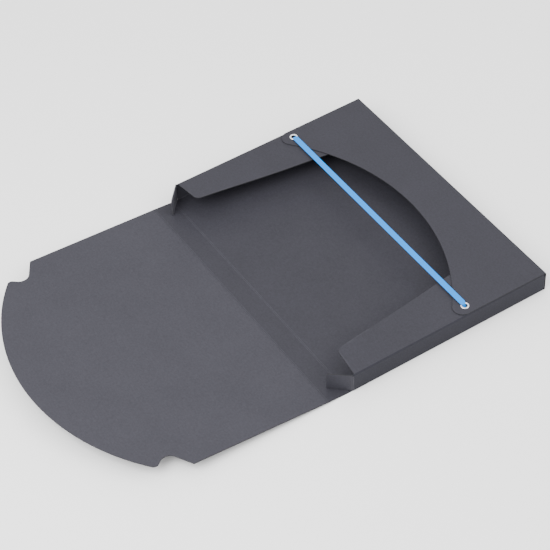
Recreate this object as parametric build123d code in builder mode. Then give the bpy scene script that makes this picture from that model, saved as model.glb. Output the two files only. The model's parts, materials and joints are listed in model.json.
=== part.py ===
import os
from math import cos, radians, sin, sqrt, tan

from build123d import *

# Document box: one die-cut, creased sheet of card, two eyelets and an elastic band.
# X runs from the open spine side to the closed end, Y from near to far, Z up.
# The origin is the centre of the underside of the tray. All sizes in millimetres.

# Card and its folds
board = 1.0  # thickness of the card
bend = 1.5  # outside radius of a folded edge
crease_gap = 0.2  # running gap left at a crease that hinges
fold_gap = 0.3  # space between card edges that meet at a corner

# Tray
tray_length = 247.0  # spine crease to the face of the closed end
tray_width = 334.0  # across the two side walls
tray_height = 24.5  # table to the top of the riveted top panel
wall_inset = 6.0  # spine crease to the ends of the side walls
edge_trim = 0.8  # each side of the spine and cover stands this far inside the tray

# Flaps folded in over the tray
flap_slant_start = 1.5  # first free point of the flap beyond the wall's end
flap_end_lean = 3.0  # how far the flap's free end leans towards the closed end
flap_width_open = 35.5  # wall face to the flap's inner edge, at the open side
flap_width_closed = 66.0  # the same at the closed end
flap_corner = 7.0  # radius of the flap's free corner
top_side_trim = 0.3  # top panel inside the wall face, at the closed end
lug_side_trim = 1.0  # the same, at the lugs
scoop_land = 52.3  # card left between the scoop's arc and the closed end
lug_reach = 27.1  # eyelet to the tip of its lug
lug_radius = 10.4  # rounded outer corner of each lug
tab_length = 22.0  # glue tab behind the closed end
tab_margin = 2.5  # tab edge to the folds above and below it
tab_chamfer = 4.0

# Corner ears at the spine side
ear_length = 26.0
near_ear_angle = 40.0  # folded in from straight, as it stands when the box is open
far_ear_angle = 48.0
ear_corner = 3.0
ear_drop = 0.2  # ear's top edge below the flap's top

# Spine and cover
rest_tilt = 4.2  # the opened spine and cover spring up from the table, degrees
lid_clearance = 0.5  # cover over the side flaps when the box is shut
tip_setback = 2.5  # tongue's tip to the closed end, when shut
hook_run = 32.7  # notch corner to the hook's point, along the cover
cover_taper = 2.2  # each side of the cover draws in this much by the notch
notch_start = 2.0  # notch corner beyond the eyelet, when shut
notch_run = 16.4  # notch corner to the notch's root, along the cover
notch_inset = 29.9  # tray side to the notch's root
hook_inset = 17.3  # tray side to the hook's point
notch_radius = 10.2
hook_radius = 5.0
notch_corner_radius = 1.5

# Eyelets
eyelet_from_end = 96.0
eyelet_inset = 11.5
eyelet_bore = 2.75  # radius
eyelet_wall = 0.25
eyelet_fit = 0.05  # barrel in its hole
flange_radius = 4.25
clinch_radius = 4.0
rim_height = 0.6

# Elastic band
band_width = 6.5
band_thickness = 0.8
band_neck = 4.6  # width where it goes down through the eyelet
band_neck_run = 6.0  # length over which it narrows
band_bend = 1.2  # mid-line radius where it turns down
band_lift = 0.1  # band over the rim of the eyelet
band_edge = 0.25
stop_length = 9.0
stop_width = 3.2
stop_height = 2.2
stop_fit = 0.1
stop_gap = 0.3  # stop under the clinched rim

# Places worked out from the sizes above
half_width = tray_width / 2
end_x = tray_length / 2
crease_x = -tray_length / 2
wall_end_x = crease_x + wall_inset
hinge_z = board / 2
hinge_step = board / 2 + crease_gap  # hinge axis to the flat edge beside it
flap_top = tray_height - board
flap_base = flap_top - board
spine_width = flap_top + lid_clearance - hinge_z + board / 2
eyelet_x = end_x - eyelet_from_end
eyelet_y = half_width - eyelet_inset
hole_radius = eyelet_bore + eyelet_wall + eyelet_fit
band_z = tray_height + rim_height + band_lift
band_half = half_width - notch_inset
stop_top = flap_base - rim_height - stop_gap

# Plane of the opened spine and cover, from the spine crease: x away from the tray, z up
tilt = radians(rest_tilt)
open_plane = Plane(
    origin=(crease_x, 0, hinge_z),
    x_dir=(-cos(tilt), 0, sin(tilt)),
    z_dir=(sin(tilt), 0, cos(tilt)),
)
# The same seen from the side, for profiles that run across the box
open_side = Plane(
    origin=(crease_x, 0, hinge_z),
    x_dir=(-cos(tilt), 0, sin(tilt)),
    z_dir=(0, 1, 0),
)


def folded_profile(plane, top):
    """Upright board with a quarter bend inwards at its foot and at its head."""
    inner = bend - board
    with BuildSketch(plane) as profile:
        with BuildLine():
            Line((bend, 0), (bend, board))
            CenterArc((bend, bend), inner, 180, 90)
            Line((board, bend), (board, top - bend))
            CenterArc((bend, top - bend), inner, 90, 90)
            Line((bend, top - board), (bend, top))
            CenterArc((bend, top - bend), bend, 90, 90)
            Line((0, top - bend), (0, bend))
            CenterArc((bend, bend), bend, 180, 90)
        make_face()
    return profile.sketch


# Bottom panel, wider where it runs out past the ends of the side walls
with BuildPart() as bottom_panel:
    panel_start = crease_x + hinge_step
    with BuildSketch():
        with Locations((panel_start, 0)):
            Rectangle(
                end_x - bend - panel_start,
                tray_width - 2 * bend,
                align=(Align.MIN, Align.CENTER),
            )
            Rectangle(
                wall_end_x - fold_gap - panel_start,
                tray_width - 2 * edge_trim,
                align=(Align.MIN, Align.CENTER),
            )
    extrude(amount=board)

# Side walls, each with its fold to the bottom and its fold to the flap
side_wall_end = end_x - board - bend
near_side = Plane(origin=(wall_end_x, -half_width, 0), x_dir=(0, 1, 0), z_dir=(1, 0, 0))
with BuildPart() as near_side_wall:
    extrude(folded_profile(near_side, flap_top), amount=side_wall_end - wall_end_x)

with BuildPart() as far_side_wall:
    mirror(near_side_wall.part, about=Plane.XZ)

# End wall, one board higher, so that the top panel lies over the side flaps
end_side = Plane(
    origin=(end_x, -half_width + top_side_trim, 0), x_dir=(-1, 0, 0), z_dir=(0, 1, 0)
)
with BuildPart() as end_wall:
    extrude(folded_profile(end_side, tray_height), amount=tray_width - 2 * top_side_trim)

# Glue tabs, folded off the side walls and stuck behind the end wall
tab_base = bend + tab_margin
tab_top = flap_top - bend - tab_margin
tab_x = end_x - board
with BuildPart() as near_glue_tab:
    with BuildSketch(Plane.XY.offset(tab_base)):
        corner = (tab_x - bend, -half_width + bend)
        with BuildLine():
            Line((corner[0], -half_width), (corner[0], -half_width + board))
            CenterArc(corner, bend - board, 270, 90)
            Line((tab_x - board, corner[1]), (tab_x - board, corner[1] + tab_length))
            Line((tab_x - board, corner[1] + tab_length), (tab_x, corner[1] + tab_length))
            Line((tab_x, corner[1] + tab_length), (tab_x, corner[1]))
            CenterArc(corner, bend, 270, 90)
        make_face()
    extrude(amount=tab_top - tab_base)
    tab_tip = near_glue_tab.edges().filter_by(Axis.X).group_by(Axis.Y)[-1]
    chamfer(tab_tip, length=tab_chamfer)

with BuildPart() as far_glue_tab:
    mirror(near_glue_tab.part, about=Plane.XZ)

# Side flaps: the inner edge runs out at a slant and the free corner is rounded
flap_end_x = end_x - bend - fold_gap
flap_start_x = wall_end_x + flap_slant_start
with BuildPart() as near_side_flap:
    with BuildSketch(Plane.XY.offset(flap_base)) as flap_outline:
        with BuildLine():
            Polyline(
                (flap_start_x, -half_width + bend),
                (flap_end_x, -half_width + bend),
                (flap_end_x, -half_width + flap_width_closed),
                (flap_start_x + flap_end_lean, -half_width + flap_width_open),
                close=True,
            )
        make_face()
        free_edge = flap_outline.vertices().sort_by(Axis.Y)[2:]
        fillet(free_edge.sort_by(Axis.X)[0], radius=flap_corner)
        with Locations((eyelet_x, -eyelet_y)):
            Circle(hole_radius, mode=Mode.SUBTRACT)
    extrude(amount=board)

with BuildPart() as far_side_flap:
    mirror(near_side_flap.part, about=Plane.XZ)

# Top panel: a wide scoop leaves two lugs, which are riveted to the side flaps
panel_end = end_x - bend
lug_tip_x = eyelet_x - lug_reach
lug_half = half_width - lug_side_trim
scoop_depth = end_x - scoop_land - lug_tip_x
with BuildPart() as top_panel:
    with BuildSketch(Plane.XY.offset(flap_top)) as panel_outline:
        with BuildLine():
            Polyline(
                (lug_tip_x, lug_half),
                (panel_end, half_width - top_side_trim),
                (panel_end, -half_width + top_side_trim),
                (lug_tip_x, -lug_half),
            )
            ThreePointArc(
                (lug_tip_x, -lug_half), (lug_tip_x + scoop_depth, 0), (lug_tip_x, lug_half)
            )
        make_face()
        fillet(panel_outline.vertices().sort_by(Axis.X)[:2], radius=lug_radius)
        with Locations((eyelet_x, -eyelet_y), (eyelet_x, eyelet_y)):
            Circle(hole_radius, mode=Mode.SUBTRACT)
    extrude(amount=board)

# Corner ears: upright flaps hinged on the side walls' ends, their foot cut on a
# slant so that it clears the spine panel that rises under it
ear_hinge_x = wall_end_x - hinge_step
ear_hinge_y = -half_width + board / 2
ear_top = flap_top - ear_drop
ear_foot = board + fold_gap


def near_ear(angle):
    """Ear on the near side, folded in from straight by the angle."""
    heading = radians(180 - angle)
    reach = crease_x - (ear_hinge_x - ear_length * cos(radians(angle)))
    tip_foot = hinge_z + reach * tan(tilt) + board / 2 / cos(tilt) + fold_gap
    ear_plane = Plane(
        origin=(ear_hinge_x, ear_hinge_y, 0),
        x_dir=(cos(heading), sin(heading), 0),
        z_dir=(sin(heading), -cos(heading), 0),
    )
    with BuildPart() as ear:
        with BuildSketch(ear_plane) as ear_outline:
            with BuildLine():
                Polyline(
                    (0, ear_foot),
                    (ear_length, tip_foot),
                    (ear_length, ear_top),
                    (0, ear_top),
                    close=True,
                )
            make_face()
            upper_corners = ear_outline.vertices().group_by(Axis.Y)[-1]
            fillet(upper_corners.sort_by(Axis.X)[-1], radius=ear_corner)
        extrude(amount=board / 2, both=True)
        with BuildSketch(Plane.XY.offset(ear_foot)):
            with Locations((ear_hinge_x, ear_hinge_y)):
                Circle(board / 2)
        extrude(amount=ear_top - ear_foot)
    return ear.part


ear_as_near = near_ear(near_ear_angle)
ear_as_far = near_ear(far_ear_angle)
with BuildPart() as near_corner_ear:
    add(ear_as_near)

with BuildPart() as far_corner_ear:
    mirror(ear_as_far, about=Plane.XZ)

# Spine panel: rolled edge on the tray's crease, flat edge beside the cover's crease
spine_half = half_width - edge_trim
with BuildPart() as spine_panel:
    with BuildSketch(open_side):
        Circle(board / 2)
        Rectangle(spine_width - hinge_step, board, align=(Align.MIN, Align.CENTER))
    extrude(amount=spine_half, both=True)

# Cover flap: slightly tapered panel, hook notches for the band, and an arched tongue
tip = spine_width + tray_length - tip_setback
eyelet_shut = spine_width + eyelet_x - crease_x
notch_corner_at = eyelet_shut + notch_start
notch_root_at = notch_corner_at + notch_run
hook_half = half_width - hook_inset
hook_at = notch_corner_at + hook_run
tongue_rise = tip - hook_at
tongue_radius = (hook_half**2 + tongue_rise**2) / (2 * tongue_rise)
tongue_centre = tip - tongue_radius
with BuildPart() as cover_flap:
    with BuildSketch(open_plane) as cover_outline:
        with BuildLine():
            Polyline(
                (spine_width, 0),
                (spine_width, spine_half),
                (notch_corner_at, spine_half - cover_taper),
                (notch_root_at, half_width - notch_inset),
                (hook_at, hook_half),
            )
            ThreePointArc(
                (hook_at, hook_half),
                (
                    tongue_centre + sqrt(tongue_radius**2 - (hook_half / 2) ** 2),
                    hook_half / 2,
                ),
                (tip, 0),
            )
            mirror(about=Plane.XZ)
        make_face()
        for corner_at, radius in (
            (notch_root_at, notch_radius),
            (hook_at, hook_radius),
            (notch_corner_at, notch_corner_radius),
        ):
            pair = cover_outline.vertices().filter_by_position(
                Axis.X, corner_at - board / 2, corner_at + board / 2
            )
            fillet(pair, radius=radius)
    extrude(amount=board / 2, both=True)
    with BuildSketch(open_side):
        with Locations((spine_width, 0)):
            Circle(board / 2)
    extrude(amount=spine_half, both=True)

# Eyelets through the lugs and the side flaps, flanged above and clinched below
with BuildPart() as near_eyelet:
    barrel = eyelet_bore + eyelet_wall
    eyelet_plane = Plane(origin=(eyelet_x, -eyelet_y, 0), x_dir=(1, 0, 0), z_dir=(0, -1, 0))
    with BuildSketch(eyelet_plane):
        with BuildLine():
            Line((eyelet_bore, flap_base), (eyelet_bore, tray_height))
            ThreePointArc(
                (eyelet_bore, tray_height),
                ((eyelet_bore + flange_radius) / 2, tray_height + rim_height),
                (flange_radius, tray_height),
            )
            Line((flange_radius, tray_height), (barrel, tray_height))
            Line((barrel, tray_height), (barrel, flap_base))
            Line((barrel, flap_base), (clinch_radius, flap_base))
            ThreePointArc(
                (clinch_radius, flap_base),
                ((eyelet_bore + clinch_radius) / 2, flap_base - rim_height),
                (eyelet_bore, flap_base),
            )
        make_face()
    revolve(axis=Axis((eyelet_x, -eyelet_y, 0), (0, 0, 1)))

with BuildPart() as far_eyelet:
    mirror(near_eyelet.part, about=Plane.XZ)

# Elastic band: the straight middle that is pulled over the cover
with BuildPart() as elastic_band:
    with BuildSketch(Plane.XZ.offset(-band_half)):
        with Locations((eyelet_x, band_z + band_thickness / 2)):
            RectangleRounded(band_width, band_thickness, band_edge)
    extrude(amount=2 * band_half)

# Band ends: they narrow, turn down through the eyelets and pass into their stops
stop_base = stop_top - stop_height
with BuildPart() as near_band_end:
    end_plane = Plane(origin=(eyelet_x, 0, 0), x_dir=(0, 1, 0), z_dir=(1, 0, 0))
    mid_z = band_z + band_thickness / 2
    half_thick = band_thickness / 2
    turn = (-eyelet_y + band_bend, mid_z - band_bend)
    with BuildSketch(end_plane):
        with BuildLine():
            Line((-band_half, mid_z - half_thick), (-band_half, mid_z + half_thick))
            Line((-band_half, mid_z + half_thick), (turn[0], mid_z + half_thick))
            CenterArc(turn, band_bend + half_thick, 90, 90)
            Line((-eyelet_y - half_thick, turn[1]), (-eyelet_y - half_thick, stop_base))
            Line((-eyelet_y - half_thick, stop_base), (-eyelet_y + half_thick, stop_base))
            Line((-eyelet_y + half_thick, stop_base), (-eyelet_y + half_thick, turn[1]))
            CenterArc(turn, band_bend - half_thick, 90, 90)
            Line((turn[0], mid_z - half_thick), (-band_half, mid_z - half_thick))
        make_face()
    extrude(amount=band_width / 2, both=True)
    with BuildSketch(Plane.XY.offset(stop_base)):
        neck_end = -eyelet_y + band_bend + half_thick
        with BuildLine():
            Polyline(
                (eyelet_x - band_width / 2, -band_half),
                (eyelet_x - band_width / 2, neck_end + band_neck_run),
                (eyelet_x - band_neck / 2, neck_end),
                (eyelet_x - band_neck / 2, -eyelet_y - band_thickness),
                (eyelet_x + band_neck / 2, -eyelet_y - band_thickness),
                (eyelet_x + band_neck / 2, neck_end),
                (eyelet_x + band_width / 2, neck_end + band_neck_run),
                (eyelet_x + band_width / 2, -band_half),
                close=True,
            )
        make_face()
    extrude(amount=band_z + band_thickness - stop_base, mode=Mode.INTERSECT)

with BuildPart() as far_band_end:
    mirror(near_band_end.part, about=Plane.XZ)

# Stops: slotted bars, too long to follow the band back up through its eyelet
with BuildPart() as near_elastic_stop:
    with BuildSketch(Plane.XY.offset(stop_base)):
        with Locations((eyelet_x, -eyelet_y)):
            SlotOverall(stop_length, stop_width)
            Rectangle(
                band_neck + 2 * stop_fit, band_thickness + 2 * stop_fit, mode=Mode.SUBTRACT
            )
    extrude(amount=stop_height)

with BuildPart() as far_elastic_stop:
    mirror(near_elastic_stop.part, about=Plane.XZ)

pieces = {
    "bottom_panel": bottom_panel,
    "near_side_wall": near_side_wall,
    "far_side_wall": far_side_wall,
    "end_wall": end_wall,
    "near_glue_tab": near_glue_tab,
    "far_glue_tab": far_glue_tab,
    "near_side_flap": near_side_flap,
    "far_side_flap": far_side_flap,
    "top_panel": top_panel,
    "near_corner_ear": near_corner_ear,
    "far_corner_ear": far_corner_ear,
    "spine_panel": spine_panel,
    "cover_flap": cover_flap,
    "near_eyelet": near_eyelet,
    "far_eyelet": far_eyelet,
    "elastic_band": elastic_band,
    "near_band_end": near_band_end,
    "far_band_end": far_band_end,
    "near_elastic_stop": near_elastic_stop,
    "far_elastic_stop": far_elastic_stop,
}
os.makedirs("parts", exist_ok=True)
for name, piece in pieces.items():
    piece.part.label = name
    export_step(piece.part, f"parts/{name}.step")
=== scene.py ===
import json
from math import cos, pi, radians, sin

import bmesh
import bpy
from mathutils import Matrix, Vector


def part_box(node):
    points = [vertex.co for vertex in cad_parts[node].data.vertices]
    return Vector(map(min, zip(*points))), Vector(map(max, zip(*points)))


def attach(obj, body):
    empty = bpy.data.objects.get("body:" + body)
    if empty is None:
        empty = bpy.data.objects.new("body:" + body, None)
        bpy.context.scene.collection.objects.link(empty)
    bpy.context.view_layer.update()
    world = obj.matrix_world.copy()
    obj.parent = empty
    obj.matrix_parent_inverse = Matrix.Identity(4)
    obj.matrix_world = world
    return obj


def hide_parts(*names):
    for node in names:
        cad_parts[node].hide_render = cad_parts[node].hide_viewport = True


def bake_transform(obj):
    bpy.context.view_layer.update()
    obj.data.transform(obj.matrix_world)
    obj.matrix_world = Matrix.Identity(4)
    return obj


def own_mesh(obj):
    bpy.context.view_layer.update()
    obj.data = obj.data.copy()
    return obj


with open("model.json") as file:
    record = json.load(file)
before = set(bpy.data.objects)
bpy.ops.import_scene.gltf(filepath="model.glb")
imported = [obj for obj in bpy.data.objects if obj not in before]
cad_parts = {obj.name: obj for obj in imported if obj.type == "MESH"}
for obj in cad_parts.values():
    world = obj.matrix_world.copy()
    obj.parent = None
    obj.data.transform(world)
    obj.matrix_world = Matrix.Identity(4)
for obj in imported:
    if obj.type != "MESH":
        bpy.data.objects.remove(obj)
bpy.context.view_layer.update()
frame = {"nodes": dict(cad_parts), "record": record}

mm = 0.001

# The card and its folds, as the CAD has them
card = {
    "board": 1.0 * mm,
    "bend": 1.5 * mm,  # outside radius of a fold
    "halfWidth": 167.0 * mm,
    "endX": 123.5 * mm,  # face of the closed end
    "creaseX": -123.5 * mm,  # fold between tray and spine
    "spineWidth": 24.0 * mm,
    "restTilt": radians(4.2),  # how far the open spine and cover spring up
    "cutRounding": 0.14 * mm,  # die-cut edges are very slightly round
    "cutSegments": 2,
    "cutProfile": 0.6,
    "sharpAngle": radians(50),
    "squareOn": 0.99,  # least cosine between a face and the direction it is said to face
}
sideFold = card["halfWidth"] - card["bend"]  # from here on the flat card curves into a fold
endFold = card["endX"] - card["bend"]


# Camera, at the photograph's angle
camera = {
    "place": (-0.83559, -1.20247, 1.47554),
    "right": (0.834625, -0.54987, -0.032323),
    "down": (-0.415023, -0.589194, -0.693258),
    "forward": (0.362157, 0.592025, -0.719964),
    "lens": 128.23,
    "sensor": 36.0,
    "nearest": 0.05,
    "farthest": 20.0,
}


def makeCamera(spec):
    data = bpy.data.cameras.new("camera")
    data.lens = spec["lens"]
    data.sensor_width = spec["sensor"]
    data.clip_start = spec["nearest"]
    data.clip_end = spec["farthest"]
    holder = bpy.data.objects.new("camera", data)
    bpy.context.scene.collection.objects.link(holder)
    turn = Matrix((spec["right"], [-v for v in spec["down"]], [-v for v in spec["forward"]])).transposed()
    holder.matrix_world = Matrix.Translation(spec["place"]) @ turn.to_4x4()
    bpy.context.scene.camera = holder


# Floor and light
studio = {
    "floorColor": (0.9, 0.9, 0.9),
    "floorRoughness": 0.9,
    "floorSize": 12.0,
    "floorZ": -0.06 * mm,  # a hair under the box
    "worldColor": (1.0, 1.0, 1.0),
    "worldStrength": 1.95,
    "lightAim": (-0.1, 0, 0),
    "lights": (
        {"name": "key", "place": (-1.0, -0.2, 1.1), "size": 0.9, "power": 21.0},
        {"name": "fill", "place": (1.0, -1.1, 1.5), "size": 1.4, "power": 18.0},
    ),
}


def makeFloor(spec):
    half, level = spec["floorSize"] / 2, spec["floorZ"]
    corners = ((-half, -half, level), (half, -half, level), (half, half, level), (-half, half, level))
    mesh = bpy.data.meshes.new("floor")
    mesh.from_pydata(corners, [], [(0, 1, 2, 3)])
    floor = bpy.data.objects.new("floor", mesh)
    bpy.context.scene.collection.objects.link(floor)
    paint = bpy.data.materials.new("floorPaint")
    paint.use_nodes = True
    shader = paint.node_tree.nodes["Principled BSDF"]
    shader.inputs["Base Color"].default_value = (*spec["floorColor"], 1)
    shader.inputs["Roughness"].default_value = spec["floorRoughness"]
    mesh.materials.append(paint)


def makeLights(spec):
    world = bpy.data.worlds.new("studio")
    world.use_nodes = True
    sky = world.node_tree.nodes["Background"]
    sky.inputs["Color"].default_value = (*spec["worldColor"], 1)
    sky.inputs["Strength"].default_value = spec["worldStrength"]
    bpy.context.scene.world = world
    for lamp in spec["lights"]:
        data = bpy.data.lights.new(lamp["name"], "AREA")
        data.size = lamp["size"]
        data.energy = lamp["power"]
        holder = bpy.data.objects.new(lamp["name"], data)
        bpy.context.scene.collection.objects.link(holder)
        aim = Vector(spec["lightAim"]) - Vector(lamp["place"])
        holder.rotation_mode = "QUATERNION"
        holder.rotation_quaternion = aim.to_track_quat("-Z", "Y")
        holder.location = lamp["place"]


# Node helpers
def addNode(tree, kind, **values):
    node = tree.nodes.new(kind)
    for key, value in values.items():
        setattr(node, key, value)
    return node


def feed(tree, source, target):
    # joins two sockets, or sets the target's own value
    if isinstance(source, (int, float, tuple)):
        target.default_value = source
    else:
        tree.links.new(source, target)


def mathNode(tree, operation, first, second=0.0):
    node = addNode(tree, "ShaderNodeMath", operation=operation)
    feed(tree, first, node.inputs[0])
    feed(tree, second, node.inputs[1])
    return node.outputs[0]


def plus(tree, first, second):
    return mathNode(tree, "ADD", first, second)


def minus(tree, first, second):
    return mathNode(tree, "SUBTRACT", first, second)


def times(tree, first, second):
    return mathNode(tree, "MULTIPLY", first, second)


def splitVector(tree, vector):
    node = addNode(tree, "ShaderNodeSeparateXYZ")
    feed(tree, vector, node.inputs[0])
    return node.outputs


def mixColors(tree, share, first, second):
    node = addNode(tree, "ShaderNodeMix", data_type="RGBA")
    feed(tree, share, node.inputs[0])
    feed(tree, first, node.inputs[6])
    feed(tree, second, node.inputs[7])
    return node.outputs[2]


def mapRange(tree, value, fromLow, fromHigh, toLow, toHigh, smooth=False):
    node = addNode(tree, "ShaderNodeMapRange", interpolation_type="SMOOTHSTEP" if smooth else "LINEAR")
    for socket, part in zip(node.inputs, (value, fromLow, fromHigh, toLow, toHigh)):
        feed(tree, part, socket)
    return node.outputs[0]


def stretchPattern(tree, vector, scale):
    node = addNode(tree, "ShaderNodeMapping")
    node.inputs["Scale"].default_value = scale
    feed(tree, vector, node.inputs["Vector"])
    return node.outputs[0]


def noiseAt(tree, vector, size, detail=2.0, roughness=0.5):
    # size is that of the pattern's grains, in metres
    node = addNode(tree, "ShaderNodeTexNoise")
    feed(tree, vector, node.inputs["Vector"])
    feed(tree, mathNode(tree, "DIVIDE", 1.0, size), node.inputs["Scale"])
    node.inputs["Detail"].default_value = detail
    node.inputs["Roughness"].default_value = roughness
    return node.outputs["Fac"]


def newGroup(name, inputs, outputs):
    group = bpy.data.node_groups.new(name, "ShaderNodeTree")
    for label, kind, value in inputs:
        socket = group.interface.new_socket(name=label, in_out="INPUT", socket_type=kind)
        if value is not None:
            socket.default_value = value
    for label, kind in outputs:
        group.interface.new_socket(name=label, in_out="OUTPUT", socket_type=kind)
    return group, addNode(group, "NodeGroupInput"), addNode(group, "NodeGroupOutput")


def placeGroup(tree, group, **values):
    node = addNode(tree, "ShaderNodeGroup", node_tree=group)
    for label, value in values.items():
        feed(tree, value, node.inputs[label.replace("_", " ")])
    return node


def newMaterial(name):
    material = bpy.data.materials.new(name)
    material.use_nodes = True
    tree = material.node_tree
    place = addNode(tree, "ShaderNodeTexCoord").outputs["Object"]
    return material, tree, tree.nodes["Principled BSDF"], place


def addBump(tree, shader, height, spec):
    bump = addNode(tree, "ShaderNodeBump")
    bump.inputs["Strength"].default_value = spec["bumpStrength"]
    bump.inputs["Distance"].default_value = spec["bumpDistance"]
    feed(tree, height, bump.inputs["Height"])
    feed(tree, bump.outputs["Normal"], shader.inputs["Normal"])


# Grain of the pressed card, shared by its faces and cut edges
grainLook = {
    "mottle": 0.12,
    "mottleSize": 2.2 * mm,
    "pebbleSize": 0.7 * mm,
    "cloudSize": 45.0 * mm,
    "fibreSize": 0.9 * mm,
    "fibreStretch": (1.0, 0.16, 1.0),  # fibres lie along Y
    "mottleShare": 0.55,
    "fibreShare": 0.25,
    "cloudShare": 0.2,
    "contrast": 6.0,  # spreads the noise's small range
    "pebbleRange": (0.3, 0.7),
    "roughness": (0.78, 0.62),  # between pebbles, and on their tops
    "pebbleHeight": 0.7,
    "fibreHeight": 0.3,
}


def makeCardGrain(look):
    # soft mottling, short fibres and a fine pebbled surface
    group, given, result = newGroup(
        "cardGrain",
        (
            ("Vector", "NodeSocketVector", None),
            ("Color", "NodeSocketColor", None),
            ("Mottle", "NodeSocketFloat", look["mottle"]),
            ("Mottle Size", "NodeSocketFloat", look["mottleSize"]),
            ("Pebble Size", "NodeSocketFloat", look["pebbleSize"]),
        ),
        (
            ("Color", "NodeSocketColor"),
            ("Roughness", "NodeSocketFloat"),
            ("Height", "NodeSocketFloat"),
        ),
    )
    vector = given.outputs["Vector"]
    drawnOut = stretchPattern(group, vector, look["fibreStretch"])
    mottle = noiseAt(group, vector, given.outputs["Mottle Size"], detail=3.0, roughness=0.6)
    cloud = noiseAt(group, vector, look["cloudSize"])
    fibre = noiseAt(group, drawnOut, look["fibreSize"], roughness=0.6)
    pebble = noiseAt(group, vector, given.outputs["Pebble Size"], detail=3.0, roughness=0.55)
    tone = plus(group, times(group, mottle, look["mottleShare"]), times(group, fibre, look["fibreShare"]))
    tone = plus(group, tone, times(group, cloud, look["cloudShare"]))
    swing = times(group, minus(group, tone, 0.5), given.outputs["Mottle"])
    shade = addNode(group, "ShaderNodeHueSaturation")
    feed(group, plus(group, 1.0, times(group, swing, look["contrast"])), shade.inputs["Value"])
    feed(group, given.outputs["Color"], shade.inputs["Color"])
    feed(group, shade.outputs["Color"], result.inputs["Color"])
    rough = mapRange(group, pebble, *look["pebbleRange"], *look["roughness"])
    feed(group, rough, result.inputs["Roughness"])
    height = plus(group, times(group, pebble, look["pebbleHeight"]), times(group, fibre, look["fibreHeight"]))
    feed(group, height, result.inputs["Height"])
    return group


# Wear of folds and edges
wearLook = {
    "patchSize": 6.0 * mm,
    "patchRange": (0.35, 0.65),
    "leastWorn": 0.35,
    "amount": 0.5,
}


def makeEdgeWear(look):
    # paler, scuffed fibre where the wear attribute is high
    group, given, result = newGroup(
        "edgeWear",
        (
            ("Vector", "NodeSocketVector", None),
            ("Color", "NodeSocketColor", None),
            ("Worn Color", "NodeSocketColor", None),
            ("Wear", "NodeSocketFloat", 0.0),
            ("Amount", "NodeSocketFloat", look["amount"]),
        ),
        (("Color", "NodeSocketColor"), ("Mask", "NodeSocketFloat")),
    )
    patch = noiseAt(group, given.outputs["Vector"], look["patchSize"], detail=4.0, roughness=0.65)
    ragged = mapRange(group, patch, *look["patchRange"], look["leastWorn"], 1.0)
    mask = times(group, times(group, ragged, given.outputs["Wear"]), given.outputs["Amount"])
    color = mixColors(group, mask, given.outputs["Color"], given.outputs["Worn Color"])
    feed(group, color, result.inputs["Color"])
    feed(group, mask, result.inputs["Mask"])
    return group


# Faces of the card: one card, in four base colours. The tray's is the card's own tone. The outer walls' plain
# and worn colours are darkened as painted shade. The far ear's and the cover's are lightened as painted light
cardFinish = {
    "mottle": 0.16,
    "wearAmount": 0.5,
    "specularLevel": 0.2,
    "bumpStrength": 0.35,
    "bumpDistance": 0.25 * mm,
    "colors": {
        "trayCard": {"plain": (0.0252, 0.0246, 0.0318), "worn": (0.078, 0.078, 0.093)},
        # outer walls: darker than the tray, painted shade
        "wallShadedCard": {"plain": (0.0138, 0.0136, 0.0198), "worn": (0.036, 0.036, 0.047)},
        # far ear: lighter than the tray, painted light against the shade in its corner
        "farEarLitCard": {"plain": (0.0560, 0.0555, 0.0660), "worn": (0.085, 0.085, 0.10)},
        # cover: lighter than the tray, painted light
        "coverLitCard": {"plain": (0.0324, 0.0317, 0.0400), "worn": (0.080, 0.080, 0.096)},
    },
}


def cardMaterial(name, colors, spec):
    material, tree, shader, place = newMaterial(name)
    grain = placeGroup(tree, cardGrain, Vector=place, Color=(*colors["plain"], 1), Mottle=spec["mottle"])
    wear = addNode(tree, "ShaderNodeAttribute", attribute_name="wear")
    worn = placeGroup(
        tree, edgeWear, Vector=place, Color=grain.outputs["Color"], Worn_Color=(*colors["worn"], 1),
        Wear=wear.outputs["Fac"], Amount=spec["wearAmount"],
    )
    feed(tree, worn.outputs["Color"], shader.inputs["Base Color"])
    feed(tree, grain.outputs["Roughness"], shader.inputs["Roughness"])
    shader.inputs["Specular IOR Level"].default_value = spec["specularLevel"]
    addBump(tree, shader, grain.outputs["Height"], spec)
    return material


# Cut edges of the card: layered fibres, rougher than the faces. Their base colours are darkened as painted
# shade, for dark outlines along the edges; the far ear's is lightened as painted light
cutFinish = {
    "mottle": 0.2,
    "pebbleSize": 0.3 * mm,
    "layerSize": 0.22 * mm,
    "layerStretch": (0.12, 0.12, 1.0),
    "layerRange": (0.35, 0.65),
    "layerDepth": 0.5,
    "darkest": (0.004, 0.004, 0.006),
    "roughness": 0.9,
    "bumpStrength": 0.5,
    "bumpDistance": 0.15 * mm,
    "colors": {
        # tray and cover edges: darkened, painted shade
        "trayShadedCutEdge": (0.010, 0.010, 0.013),
        # far ear's cut edge: lightened, painted light
        "farEarLitCutEdge": (0.045, 0.045, 0.055),
        "coverShadedCutEdge": (0.012, 0.012, 0.016),
    },
}


def cutEdgeMaterial(name, color, spec):
    material, tree, shader, place = newMaterial(name)
    flattened = stretchPattern(tree, place, spec["layerStretch"])
    layers = noiseAt(tree, flattened, spec["layerSize"], detail=3.0, roughness=0.6)
    grain = placeGroup(
        tree, cardGrain, Vector=place, Color=(*color, 1),
        Mottle=spec["mottle"], Pebble_Size=spec["pebbleSize"],
    )
    share = mapRange(tree, layers, *spec["layerRange"], 0.0, spec["layerDepth"])
    darker = mixColors(tree, share, grain.outputs["Color"], (*spec["darkest"], 1))
    feed(tree, darker, shader.inputs["Base Color"])
    shader.inputs["Roughness"].default_value = spec["roughness"]
    addBump(tree, shader, plus(tree, layers, grain.outputs["Height"]), spec)
    return material


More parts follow.
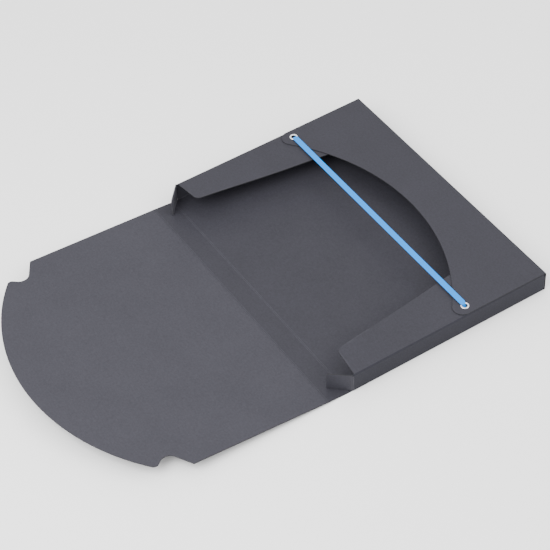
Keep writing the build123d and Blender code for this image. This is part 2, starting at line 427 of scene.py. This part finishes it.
# Metals of the eyelets and stops
metalFinish = {
    "scratchTint": 0.82,
    "scratchRange": (0.3, 0.7),
    "scratchRoughness": 1.7,  # times the plain roughness
    "bumpStrength": 0.08,
    "bumpDistance": 0.05 * mm,
    "metals": {
        "brightNickel": {"color": (0.90, 0.90, 0.91), "roughness": 0.2, "scratchSize": 1.2 * mm},
        # the inside of the bore: darkened metal, painted shade in the hole
        "shadedBoreMetal": {"color": (0.13, 0.13, 0.14), "roughness": 0.45, "scratchSize": 0.8 * mm},
        "pressedSteel": {"color": (0.56, 0.57, 0.58), "roughness": 0.3, "scratchSize": 0.8 * mm},
    },
}


def metalMaterial(name, metal, spec):
    material, tree, shader, place = newMaterial(name)
    scratch = noiseAt(tree, place, metal["scratchSize"], detail=4.0, roughness=0.6)
    scratched = tuple(part * spec["scratchTint"] for part in metal["color"])
    tint = mixColors(tree, scratch, (*metal["color"], 1), (*scratched, 1))
    feed(tree, tint, shader.inputs["Base Color"])
    shader.inputs["Metallic"].default_value = 1.0
    plain = metal["roughness"]
    rough = mapRange(tree, scratch, *spec["scratchRange"], plain, plain * spec["scratchRoughness"])
    feed(tree, rough, shader.inputs["Roughness"])
    addBump(tree, shader, scratch, spec)
    return material


# Knitted elastic
knitFinish = {
    "color": (0.002, 0.245, 0.74),
    "shadeColor": (0.001, 0.155, 0.53),
    "stitch": 0.9 * mm,  # length of one stitch along the band
    "stitchLean": 1.2,  # how far a stitch slants from rib to valley
    "stitchShade": 0.5,
    "valley": (0.32, 0.5),  # from the rib's flank to the middle of the valley
    "fuzzSize": 0.4 * mm,
    "fuzzRange": (0.3, 0.7),
    "roughness": (0.62, 0.8),
    "sheen": 0.06,
    "sheenRoughness": 0.4,
    "specularLevel": 0.15,
    "stitchHeight": 0.7,
    "fuzzHeight": 0.3,
    "bumpStrength": 0.5,
    "bumpDistance": 0.1 * mm,
}


def elasticMaterial(name, spec, ribs, bandBox):
    # a chevron of stitches on every rib; the valleys between ribs and the gaps between stitches are darkened
    # as painted shade
    material, tree, shader, place = newMaterial(name)
    low, high = bandBox
    axes = splitVector(tree, place)
    across = times(tree, minus(tree, axes["X"], low.x), ribs / (high.x - low.x))
    saw = mathNode(tree, "ABSOLUTE", minus(tree, mathNode(tree, "FRACT", across), 0.5))
    along = mathNode(tree, "DIVIDE", axes["Y"], spec["stitch"])
    phase = plus(tree, along, times(tree, saw, spec["stitchLean"]))
    wave = mathNode(tree, "SINE", times(tree, phase, 2 * pi))
    stitch = mapRange(tree, wave, -1.0, 1.0, 0.0, 1.0)
    valley = mapRange(tree, saw, *spec["valley"], 0.0, 1.0)
    fuzz = noiseAt(tree, place, spec["fuzzSize"])
    # painted shade: the band's colour darkens into the valleys and between stitches
    depth = mathNode(tree, "MAXIMUM", valley, times(tree, minus(tree, 1.0, stitch), spec["stitchShade"]))
    color = mixColors(tree, depth, (*spec["color"], 1), (*spec["shadeColor"], 1))
    feed(tree, color, shader.inputs["Base Color"])
    rough = mapRange(tree, fuzz, *spec["fuzzRange"], *spec["roughness"])
    feed(tree, rough, shader.inputs["Roughness"])
    shader.inputs["Sheen Weight"].default_value = spec["sheen"]
    shader.inputs["Sheen Roughness"].default_value = spec["sheenRoughness"]
    shader.inputs["Specular IOR Level"].default_value = spec["specularLevel"]
    height = plus(tree, times(tree, stitch, spec["stitchHeight"]), times(tree, fuzz, spec["fuzzHeight"]))
    addBump(tree, shader, height, spec)
    return material


# Mesh helpers
def newPiece(name, mesh, *materials):
    piece = bpy.data.objects.new(name, mesh)
    bpy.context.scene.collection.objects.link(piece)
    for material in materials:
        mesh.materials.append(material)
    return piece


def turnOutwards(shape):
    bmesh.ops.recalc_face_normals(shape, faces=shape.faces)


def keepMesh(shape, name):
    mesh = bpy.data.meshes.new(name)
    shape.to_mesh(mesh)
    shape.free()
    return mesh


def smoothMesh(shape, name):
    for face in shape.faces:
        face.smooth = True
    return keepMesh(shape, name)


def cardMesh(shape, name, wideArea, wornShare):
    # wide flat faces stay flat; folds and rounded edges are smooth and carry the wear
    turnOutwards(shape)
    layer = shape.verts.layers.float.new("wear")
    for face in shape.faces:
        face.smooth = face.calc_area() < wideArea
    for vert in shape.verts:
        flat = any(f.material_index == 0 and not f.smooth for f in vert.link_faces)
        vert[layer] = 0.0 if flat else wornShare
    return keepMesh(shape, name)


def loftRows(rows, closed=False):
    # joins equal rings of points into one shape: a capped tube, or a closed loop of rings
    shape = bmesh.new()
    made = [[shape.verts.new(p) for p in row] for row in rows]
    count = len(rows[0])
    spans = len(rows) if closed else len(rows) - 1
    for i in range(spans):
        first, second = made[i], made[(i + 1) % len(rows)]
        for j in range(count):
            k = (j + 1) % count
            shape.faces.new((first[j], first[k], second[k], second[j]))
    if not closed:
        shape.faces.new(made[0])
        shape.faces.new(reversed(made[-1]))
    turnOutwards(shape)
    return shape


def arcPoints(centre, radius, start, sweep, steps):
    # start and sweep in degrees
    angles = [radians(start + sweep * i / steps) for i in range(steps + 1)]
    return [(centre[0] + radius * cos(a), centre[1] + radius * sin(a)) for a in angles]


def roundCutEdges(shape, continues):
    # rounds the sharp edges, apart from those of faces that continue into the next panel
    sharp = []
    for edge in shape.edges:
        if len(edge.link_faces) != 2 or edge.calc_face_angle() < card["sharpAngle"]:
            continue
        if not any(continues(face) for face in edge.link_faces):
            sharp.append(edge)
    bmesh.ops.bevel(
        shape, geom=sharp, offset=card["cutRounding"], offset_type="OFFSET", segments=card["cutSegments"],
        profile=card["cutProfile"], affect="EDGES", clamp_overlap=True,
    )


# Flat panels: the outline of the CAD solid, with die-cut edges
trayLook = {"slot": "card", "face": "trayCard", "edge": "trayShadedCutEdge"}
panels = {
    "bottom_panel": {
        **trayLook, "body": "tray", "mates": (("y", sideFold), ("y", -sideFold), ("x", endFold)),
    },
    "near_side_flap": {**trayLook, "body": "tray", "mates": (("y", -sideFold),), "springs": True},
    "far_side_flap": {**trayLook, "body": "tray", "mates": (("y", sideFold),), "springs": True},
    "top_panel": {**trayLook, "body": "tray", "mates": (("x", endFold),)},
    "near_corner_ear": {**trayLook, "body": "near_ear"},
    # the far ear takes lightened face and edge colours: painted light against the shade in its corner
    "far_corner_ear": {"slot": "card", "face": "farEarLitCard", "edge": "farEarLitCutEdge", "body": "far_ear"},
    "spine_panel": {"slot": "cover_card", "face": "trayCard", "edge": "coverShadedCutEdge", "body": "spine"},
    # the cover takes the lightened card colour: painted light
    "cover_flap": {"slot": "cover_card", "face": "coverLitCard", "edge": "coverShadedCutEdge", "body": "cover"},
}
panelFinish = {
    "weldGap": 0.001 * mm,
    "flatAngle": radians(0.6),
    "faceCosine": 0.98,  # a face turned further than this belongs to the cut edge
    "foldSlack": 0.01 * mm,  # how near a face has to lie to the fold that it meets
    "wideArea": 3e-5,  # in square metres
    "wornShare": 0.35,
}


# Side flaps of the open box stand a little proud along their free edge
flapSpring = {
    "rise": 3.2 * mm,  # of the free edge at the open end
    "fromX": -116.0 * mm,
    "toX": -4.0 * mm,  # flat from here on, where the lug is riveted down
    "widthOpen": 34.0 * mm,
    "widthSlope": 0.13,
    "restTop": 23.5 * mm,
    "cuts": 15,
    "cutSlack": 1e-7,
    "strips": 4,
    "stripWidth": 9.0 * mm,
}


def slicePanel(shape, place, way):
    parts = shape.verts[:] + shape.edges[:] + shape.faces[:]
    bmesh.ops.bisect_plane(shape, geom=parts, plane_co=place, plane_no=way, dist=flapSpring["cutSlack"])


def springUp(shape, spec):
    run = spec["toX"] - spec["fromX"]
    for cut in range(spec["cuts"]):
        share = (cut + 0.5) / (spec["cuts"] - 0.5)
        slicePanel(shape, (spec["fromX"] + run * share, 0, 0), (1, 0, 0))
    for side in (-1, 1):
        for strip in range(1, spec["strips"] + 1):
            slicePanel(shape, (0, side * (sideFold - strip * spec["stripWidth"]), 0), (0, 1, 0))
    for vert in shape.verts:
        share = min(1.0, max(0.0, (spec["toX"] - vert.co.x) / run))
        width = spec["widthOpen"] + spec["widthSlope"] * max(0.0, vert.co.x - spec["fromX"])
        out = max(0.0, sideFold - abs(vert.co.y)) / width
        vert.co.z += spec["rise"] * share * share * (3 - 2 * share) * out


def meetsFold(part, mates):
    # whether a face of a panel runs on into the fold beside it
    centre = part.calc_center_median()
    for axis, level in mates:
        facesFold = abs(getattr(part.normal, axis)) > card["squareOn"]
        if facesFold and abs(getattr(centre, axis) - level) < panelFinish["foldSlack"]:
            return True
    return False


def makePanel(name, spec):
    shape = bmesh.new()
    shape.from_mesh(frame["nodes"][name].data)
    bmesh.ops.remove_doubles(shape, verts=shape.verts, dist=panelFinish["weldGap"])
    bmesh.ops.dissolve_limit(
        shape, angle_limit=panelFinish["flatAngle"], verts=shape.verts, edges=shape.edges,
    )
    turnOutwards(shape)
    facing = max(shape.faces, key=lambda f: f.calc_area()).normal.copy()
    roundCutEdges(shape, lambda part: meetsFold(part, spec.get("mates", ())))
    for part in shape.faces:
        part.material_index = 0 if abs(part.normal.dot(facing)) > panelFinish["faceCosine"] else 1
    springs = spec.get("springs", False)
    if springs:
        springUp(shape, flapSpring)
    mesh = cardMesh(shape, name + "_card", panelFinish["wideArea"], panelFinish["wornShare"])
    piece = newPiece(name + "_card", mesh, finishes[spec["face"]], finishes[spec["edge"]])
    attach(piece, spec["body"])
    if springs:
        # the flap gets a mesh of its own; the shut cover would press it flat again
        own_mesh(piece)
    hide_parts(name)


# Walls: upright board with a quarter fold at foot and head
walls = {
    "near_side_wall": {"along": "x", "across": "y", "outward": -1},
    "far_side_wall": {"along": "x", "across": "y", "outward": 1},
    "end_wall": {"along": "y", "across": "x", "outward": 1},
}
wallFinish = {
    "foldSteps": 10,
    "foldWear": 0.15,  # creased card stays dark along its folds
    "wideArea": 1e-3,  # in square metres
    "joinArea": 4e-4,  # the narrow faces where a fold meets its panel are smaller
    "endCosine": 0.9,
    "innerCosine": -0.1,
}


def wallProfile(height):
    # depth in from the face, and height
    board, bend = card["board"], card["bend"]
    foot, head = (bend, bend), (bend, height - bend)
    steps = wallFinish["foldSteps"]
    points = arcPoints(foot, bend, 270, -90, steps)
    points += arcPoints(head, bend, 180, -90, steps)
    points += arcPoints(head, bend - board, 90, 90, steps)
    points += arcPoints(foot, bend - board, 180, 90, steps)
    return points


def wallSide(part, spec):
    # 0 for the outer side, 1 for the cut ends, 2 for the inner side
    if abs(getattr(part.normal, spec["along"])) > wallFinish["endCosine"]:
        return 1
    return 2 if getattr(part.normal, spec["across"]) * spec["outward"] < wallFinish["innerCosine"] else 0


def makeWall(name, spec):
    low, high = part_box(name)
    outer = getattr(high if spec["outward"] > 0 else low, spec["across"])
    rows = []
    for end in (getattr(low, spec["along"]), getattr(high, spec["along"])):
        row = []
        for depth, height in wallProfile(high.z - low.z):
            side = outer - spec["outward"] * depth
            row.append((end, side, height) if spec["along"] == "x" else (side, end, height))
        rows.append(row)
    shape = loftRows(rows)
    for part in shape.faces:
        part.material_index = wallSide(part, spec)

    def meetsPanel(part):
        facesIn = abs(getattr(part.normal, spec["across"])) > card["squareOn"]
        return facesIn and part.calc_area() < wallFinish["joinArea"]

    roundCutEdges(shape, meetsPanel)
    mesh = cardMesh(shape, name + "_card", wallFinish["wideArea"], wallFinish["foldWear"])
    # the outer side takes the darkened wall colour: painted shade
    materials = (finishes["wallShadedCard"], finishes["trayShadedCutEdge"], finishes["trayCard"])
    piece = newPiece(name + "_card", mesh, *materials)
    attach(piece, "tray")
    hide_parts(name)


# Creases: scored card that bends, over the gap between two hinged panels
crease = {
    "reach": 1.5 * mm,  # each side of the fold line
    "proud": 0.015 * mm,
    "edgeTaper": 0.3 * mm,  # the strip thins over this width at its edges
    "taperDepth": 1.5,  # times the height it stands proud
    "ridge": 0.13 * mm,  # height of the two pressed lines
    "ridgeAt": 0.75 * mm,
    "ridgeWidth": 0.3 * mm,
    "steps": 24,
    "rowLength": 20.0 * mm,
    "bendReach": 1.0 * mm,
    "earFoot": 0.3 * mm,  # ear crease above the ear's lower edge
    "earHead": 1.4 * mm,  # and below its top
}


def ridgeHeight(distance):
    top = 0.0
    for middle in (-crease["ridgeAt"], crease["ridgeAt"]):
        gap = abs(distance - middle) / crease["ridgeWidth"]
        if gap < 1:
            top += crease["ridge"] * 0.5 * (1 + cos(pi * gap))
    return top


def creaseSection(spec, samples):
    # ring of points round the strip, over the first panel, the fold line and the second panel
    firstWay, secondWay = spec["ways"]
    along = spec["to"] - spec["from"]
    half = card["board"] / 2 + crease["proud"]
    upper, lower = [], []
    for distance in samples:
        way = firstWay if distance < 0 else secondWay
        turn = min(1.0, max(0.0, 0.5 + distance / (2 * crease["bendReach"])))
        normal = (-firstWay).lerp(secondWay, turn).normalized().cross(along).normalized()
        if normal.dot(spec["up"]) < 0:
            normal.negate()
        centre = spec["line"] + way * abs(distance)
        edgeShare = min(1.0, (crease["reach"] - abs(distance)) / crease["edgeTaper"])
        lift = half - crease["proud"] * (1 - edgeShare) * crease["taperDepth"]
        upper.append(centre + normal * (lift + ridgeHeight(distance)))
        lower.append(centre - normal * lift)
    return upper + lower[::-1]


def makeCrease(name, spec, face):
    reach, steps = crease["reach"], crease["steps"]
    samples = [-reach + 2 * reach * i / steps for i in range(steps + 1)]
    ring = creaseSection(spec, samples)
    count = max(2, int((spec["to"] - spec["from"]).length / crease["rowLength"]))
    shifts = [spec["from"].lerp(spec["to"], i / count) for i in range(count + 1)]
    shape = loftRows([[point + shift for point in ring] for shift in shifts])
    layer = shape.verts.layers.float.new("wear")
    wear = [min(1.0, ridgeHeight(distance) / crease["ridge"]) for distance in samples]
    wear += [0.0] * len(samples)  # the underside
    for i, vert in enumerate(shape.verts):
        vert[layer] = wear[i % len(wear)]
    mesh = smoothMesh(shape, name)
    mesh.set_sharp_from_angle(angle=card["sharpAngle"])
    piece = newPiece(name, mesh, face)
    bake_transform(piece)


def coverCreases():
    tilt = card["restTilt"]
    openWay = Vector((-cos(tilt), 0, sin(tilt)))
    spineLow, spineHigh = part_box("spine_panel")
    line = Vector((card["creaseX"], 0, card["board"] / 2))
    shared = {
        "from": Vector((0, spineLow.y, 0)),
        "to": Vector((0, spineHigh.y, 0)),
        "up": Vector((0, 0, 1)),
        "slot": "cover_card",
    }
    return {
        "spine_crease": {
            **shared, "line": line, "ways": (Vector((1, 0, 0)), openWay), "bodies": ("tray", "spine"),
        },
        "cover_crease": {
            **shared, "line": line + openWay * card["spineWidth"], "ways": (-openWay, openWay),
            "bodies": ("spine", "cover"),
        },
    }


def earCreases():
    creases = {}
    joints = {joint["name"]: joint for joint in frame["record"]["behaviour"]["joints"]}
    for end, side in (("near", -1), ("far", 1)):
        low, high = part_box(end + "_corner_ear")
        line = Vector((*joints[end + "_ear_fold"]["pos_m"][:2], 0))
        tip = Vector((low.x, low.y if side > 0 else high.y, 0))
        creases[end + "_ear_crease"] = {
            "line": line,
            "from": Vector((0, 0, low.z + crease["earFoot"])),
            "to": Vector((0, 0, high.z - crease["earHead"])),
            "ways": (Vector((1, 0, 0)), (tip - line).normalized()),
            "up": Vector((0, side, 0)),
            "bodies": ("tray", end + "_ear"),
            "slot": "card",
        }
    return creases


# Geometry trees
def newGeometryTree(name, inputs):
    tree = bpy.data.node_groups.new(name, "GeometryNodeTree")
    tree.interface.new_socket(name="Geometry", in_out="INPUT", socket_type="NodeSocketGeometry")
    for label, kind, value in inputs:
        socket = tree.interface.new_socket(name=label, in_out="INPUT", socket_type=kind)
        if value is not None:
            socket.default_value = value
    tree.interface.new_socket(name="Geometry", in_out="OUTPUT", socket_type="NodeSocketGeometry")
    return tree, addNode(tree, "NodeGroupInput")


def endTree(tree, geometry, material):
    real = addNode(tree, "GeometryNodeRealizeInstances")
    feed(tree, geometry, real.inputs[0])
    painted = addNode(tree, "GeometryNodeSetMaterial")
    feed(tree, real.outputs[0], painted.inputs["Geometry"])
    feed(tree, material, painted.inputs["Material"])
    result = addNode(tree, "NodeGroupOutput")
    feed(tree, painted.outputs[0], result.inputs[0])


def movePoints(tree, geometry, **offset):
    # shifts each point by a value per axis
    shift = addNode(tree, "ShaderNodeCombineXYZ")
    for axis, value in offset.items():
        feed(tree, value, shift.inputs[axis])
    moved = addNode(tree, "GeometryNodeSetPosition")
    feed(tree, geometry, moved.inputs["Geometry"])
    feed(tree, shift.outputs[0], moved.inputs["Offset"])
    return moved.outputs[0]


def growPiece(name, seedMesh, tree, values):
    # runs a geometry tree once and keeps its plain mesh
    seed = bpy.data.objects.new(name + "_seed", seedMesh)
    bpy.context.scene.collection.objects.link(seed)
    modifier = seed.modifiers.new("grow", "NODES")
    modifier.node_group = tree
    for item in tree.interface.items_tree:
        if item.in_out == "INPUT" and item.name in values:
            modifier[item.identifier] = values[item.name]
    bpy.context.view_layer.update()
    evaluated = seed.evaluated_get(bpy.context.evaluated_depsgraph_get())
    mesh = bpy.data.meshes.new_from_object(evaluated)
    seed.modifiers.remove(modifier)
    bpy.data.objects.remove(seed)
    mesh.name = name
    return newPiece(name, mesh)


# Eyelets
eyelet = {
    "bore": 2.75 * mm,
    "wall": 0.25 * mm,
    "boreSlack": 0.02 * mm,
    "flange": 4.5 * mm,
    "rim": 0.6 * mm,
    "rimSteps": 14,
    "clinch": 4.0 * mm,
    "fillet": 0.15 * mm,  # between flange and barrel
    "hem": 0.1 * mm,  # barrel's end below the flap
    "turns": 64,
    "petals": 8,  # the barrel's end splits into these
    "petalSteps": 8,
    "petalSpread": 0.34,  # half width, as a share of its distance from the middle
    "petalTaper": 0.25,
    "petalWall": 0.12 * mm,
}


def eyeletProfile(low, high):
    # radius and height, round the wall of the eyelet once
    topFace, underFace = high.z - eyelet["rim"], low.z + eyelet["rim"]
    bore, barrel = eyelet["bore"], eyelet["bore"] + eyelet["wall"]
    rimMiddle, rimHalf = (bore + eyelet["flange"]) / 2, (eyelet["flange"] - bore) / 2
    points = []
    for i in range(eyelet["rimSteps"] + 1):
        angle = pi * i / eyelet["rimSteps"]
        points.append((rimMiddle - rimHalf * cos(angle), topFace + eyelet["rim"] * sin(angle)))
    points.append((barrel + eyelet["fillet"], topFace))
    points.append((barrel, topFace - eyelet["fillet"]))
    points.append((barrel, underFace - eyelet["hem"]))
    points.append((bore, underFace - eyelet["hem"]))
    return points


def makePetalRing():
    # the barrel's end, split and rolled out into petals under the flap
    tree, given = newGeometryTree(
        "petalRing",
        (
            ("Count", "NodeSocketInt", 8),
            ("Radius", "NodeSocketFloat", 0.0035),
            ("Material", "NodeSocketMaterial", None),
        ),
    )
    ring = addNode(tree, "GeometryNodeMeshCircle")
    feed(tree, given.outputs["Count"], ring.inputs["Vertices"])
    feed(tree, given.outputs["Radius"], ring.inputs["Radius"])
    place = addNode(tree, "GeometryNodeInputPosition")
    facing = addNode(tree, "FunctionNodeAlignRotationToVector", axis="X", pivot_axis="Z")
    feed(tree, place.outputs[0], facing.inputs["Vector"])
    spread = addNode(tree, "GeometryNodeInstanceOnPoints")
    feed(tree, ring.outputs[0], spread.inputs["Points"])
    feed(tree, given.outputs["Geometry"], spread.inputs["Instance"])
    feed(tree, facing.outputs[0], spread.inputs["Rotation"])
    endTree(tree, spread.outputs[0], given.outputs["Material"])
    return tree


def petalMesh():
    # one petal round its own middle: out along X, rolled over in Z
    reach = (eyelet["clinch"] - eyelet["bore"]) / 2
    rows = []
    for i in range(eyelet["petalSteps"] + 1):
        share = i / eyelet["petalSteps"]
        angle = pi * share
        x, z = -reach * cos(angle), -eyelet["rim"] * sin(angle)
        wide = (eyelet["bore"] + reach + x) * eyelet["petalSpread"] * (1 - eyelet["petalTaper"] * share ** 3)
        inward = Vector((cos(angle), 0, sin(angle))) * eyelet["petalWall"]
        ring = []
        for side, depth in ((-1, 0), (0, 0), (1, 0), (1, 1), (0, 1), (-1, 1)):
            ring.append(Vector((x, side * wide, z)) + inward * depth)
        rows.append(ring)
    return smoothMesh(loftRows(rows), "petal")


def inBore(part, centre, topZ):
    middle = part.calc_center_median()
    reach = Vector((middle.x - centre.x, middle.y - centre.y)).length
    return reach < eyelet["bore"] + eyelet["boreSlack"] and middle.z < topZ - eyelet["rim"]


def makeEyelet(name, petalTree):
    low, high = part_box(name)
    centre = (low + high) / 2
    profile = eyeletProfile(low, high)
    rows = []
    for turn in range(eyelet["turns"]):
        angle = 2 * pi * turn / eyelet["turns"]
        rows.append([(centre.x + r * cos(angle), centre.y + r * sin(angle), z) for r, z in profile])
    shape = loftRows(rows, closed=True)
    # faces inside the bore take the darkened metal: painted shade
    for part in shape.faces:
        part.material_index = 1 if inBore(part, centre, high.z) else 0
    nickel = finishes["brightNickel"]
    piece = newPiece(name + "_metal", smoothMesh(shape, name + "_metal"), nickel, finishes["shadedBoreMetal"])
    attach(piece, "tray")
    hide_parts(name)
    middleRadius = (eyelet["bore"] + eyelet["clinch"]) / 2
    values = {"Count": eyelet["petals"], "Radius": middleRadius, "Material": nickel}
    petals = growPiece(name + "_petals", petalMesh(), petalTree, values)
    petals.data.transform(Matrix.Translation((centre.x, centre.y, low.z + eyelet["rim"])))
    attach(petals, "tray")


# Elastic: one ribbed section swept along the middle and both ends
elastic = {
    "ribs": 9,
    "ribDepth": 0.09 * mm,
    "rowStep": 0.7 * mm,
    "profilePoints": 120,
    "bendRadius": 1.2 * mm,
    "bendSteps": 12,
    "entryShift": 1.45 * mm,  # it goes down near the inner side of the bore
    "entryLean": 0.2 * mm,  # how far it leans out on the way down
    "entryDrop": 1.0 * mm,  # down for this far, then over to the stop
    "neckWidth": 3.8 * mm,
    "neckRun": 2.9 * mm,
    "heldAt": 154.0 * mm,  # outwards of this the ends stay with the tray
}


def ribbedSection(tree, given):
    # the band's outline across, with a groove between each two ribs
    width = given.outputs["Width"]
    outline = addNode(tree, "GeometryNodeCurvePrimitiveQuadrilateral")
    feed(tree, width, outline.inputs["Width"])
    feed(tree, given.outputs["Thickness"], outline.inputs["Height"])
    points = addNode(tree, "GeometryNodeResampleCurve", mode="COUNT")
    feed(tree, outline.outputs[0], points.inputs["Curve"])
    feed(tree, given.outputs["Profile Points"], points.inputs["Count"])
    axes = splitVector(tree, addNode(tree, "GeometryNodeInputPosition").outputs[0])
    pitch = mathNode(tree, "DIVIDE", width, given.outputs["Ribs"])
    fromEdge = plus(tree, axes["X"], times(tree, width, 0.5))
    phase = times(tree, mathNode(tree, "DIVIDE", fromEdge, pitch), 2 * pi)
    groove = times(tree, plus(tree, mathNode(tree, "COSINE", phase), 1.0), 0.5)
    sink = times(tree, groove, given.outputs["Rib Depth"])
    inward = times(tree, times(tree, mathNode(tree, "SIGN", axes["Y"]), sink), -1.0)
    return movePoints(tree, points.outputs[0], Y=inward)


def neckIn(tree, given, geometry):
    # X draws in towards the middle line where the band nears its eyelet
    axes = splitVector(tree, addNode(tree, "GeometryNodeInputPosition").outputs[0])
    away = mathNode(tree, "ABSOLUTE", axes["Y"])
    ends = given.outputs["Neck Inner"], given.outputs["Neck Outer"]
    width = mapRange(tree, away, *ends, 1.0, given.outputs["Neck Share"], smooth=True)
    fromMiddle = minus(tree, axes["X"], given.outputs["Middle"])
    return movePoints(tree, geometry, X=times(tree, fromMiddle, minus(tree, width, 1.0)))


def makeRibbedBand():
    tree, given = newGeometryTree(
        "ribbedBand",
        (
            ("Width", "NodeSocketFloat", 0.0065),
            ("Thickness", "NodeSocketFloat", 0.0008),
            ("Ribs", "NodeSocketInt", 9),
            ("Rib Depth", "NodeSocketFloat", 0.0001),
            ("Row Step", "NodeSocketFloat", 0.001),
            ("Profile Points", "NodeSocketInt", 100),
            ("Middle", "NodeSocketFloat", 0.0),
            ("Neck Inner", "NodeSocketFloat", 1.0),
            ("Neck Outer", "NodeSocketFloat", 2.0),
            ("Neck Share", "NodeSocketFloat", 1.0),
            ("Material", "NodeSocketMaterial", None),
        ),
    )
    route = addNode(tree, "GeometryNodeMeshToCurve")
    feed(tree, given.outputs["Geometry"], route.inputs[0])
    even = addNode(tree, "GeometryNodeResampleCurve", mode="LENGTH")
    feed(tree, route.outputs[0], even.inputs["Curve"])
    feed(tree, given.outputs["Row Step"], even.inputs["Length"])
    sweep = addNode(tree, "GeometryNodeCurveToMesh")
    feed(tree, even.outputs[0], sweep.inputs["Curve"])
    feed(tree, ribbedSection(tree, given), sweep.inputs["Profile Curve"])
    sweep.inputs["Fill Caps"].default_value = True
    endTree(tree, neckIn(tree, given, sweep.outputs[0]), given.outputs["Material"])
    return tree


def routeMesh(points):
    mesh = bpy.data.meshes.new("route")
    mesh.from_pydata(points, [(i, i + 1) for i in range(len(points) - 1)], [])
    return mesh


def endRoute(startY, level, entryY, stopTop, stopFoot):
    # Y and height, from the straight middle over the eyelet's rim and down its bore to the stop
    radius = elastic["bendRadius"]
    stopY = entryY + elastic["entryShift"]
    points = [(startY, level)]
    points += arcPoints((entryY - radius, level - radius), radius, 90, -90, elastic["bendSteps"])
    points.append((entryY + elastic["entryLean"], level - radius - elastic["entryDrop"]))
    points.append((stopY, stopTop))
    points.append((stopY, stopFoot))
    return points


def makeElastic(material):
    low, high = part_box("elastic_band")
    middleX, middleZ = (low.x + high.x) / 2, (low.z + high.z) / 2
    stopLow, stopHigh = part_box("near_elastic_stop")
    entryY = -(stopLow.y + stopHigh.y) / 2 - elastic["entryShift"]
    tree = makeRibbedBand()
    values = {
        "Width": high.x - low.x,
        "Thickness": high.z - low.z,
        "Ribs": elastic["ribs"],
        "Rib Depth": elastic["ribDepth"],
        "Row Step": elastic["rowStep"],
        "Profile Points": elastic["profilePoints"],
        "Middle": middleX,
        "Neck Inner": entryY - elastic["neckRun"],
        "Neck Outer": entryY,
        "Neck Share": elastic["neckWidth"] / (high.x - low.x),
        "Material": material,
    }
    straight = routeMesh([(middleX, low.y, middleZ), (middleX, high.y, middleZ)])
    middle = growPiece("elastic_band_woven", straight, tree, values)
    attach(middle, "band")
    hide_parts("elastic_band")
    endPath = endRoute(high.y, middleZ, entryY, stopHigh.z, stopLow.z)
    for side, name in ((-1, "near_band_end"), (1, "far_band_end")):
        route = routeMesh([(middleX, side * y, z) for y, z in endPath])
        end = growPiece(name + "_woven", route, tree, values)
        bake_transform(end)
        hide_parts(name)


# Hidden pieces that keep their CAD shape
plainNodes = {
    "near_glue_tab": "trayCard",
    "far_glue_tab": "trayCard",
    "near_elastic_stop": "pressedSteel",
    "far_elastic_stop": "pressedSteel",
}


makeCamera(camera)
makeFloor(studio)
makeLights(studio)
print("camera and studio are in place")

cardGrain = makeCardGrain(grainLook)
edgeWear = makeEdgeWear(wearLook)
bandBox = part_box("elastic_band")
finishes = {"blueElastic": elasticMaterial("blueElastic", knitFinish, elastic["ribs"], bandBox)}
for name, colors in cardFinish["colors"].items():
    finishes[name] = cardMaterial(name, colors, cardFinish)
for name, color in cutFinish["colors"].items():
    finishes[name] = cutEdgeMaterial(name, color, cutFinish)
for name, metal in metalFinish["metals"].items():
    finishes[name] = metalMaterial(name, metal, metalFinish)
print("materials are mixed")

for name, spec in panels.items():
    makePanel(name, spec)
for name, spec in walls.items():
    makeWall(name, spec)
print("card panels and walls are cut")

for name, spec in {**coverCreases(), **earCreases()}.items():
    makeCrease(name, spec, finishes["trayCard"])
print("creases are scored")

petalRing = makePetalRing()
for name in ("near_eyelet", "far_eyelet"):
    makeEyelet(name, petalRing)
makeElastic(finishes["blueElastic"])
for name, finish in plainNodes.items():
    frame["nodes"][name].data.materials.clear()
    frame["nodes"][name].data.materials.append(finishes[finish])
print("eyelets, elastic and stops are fitted")
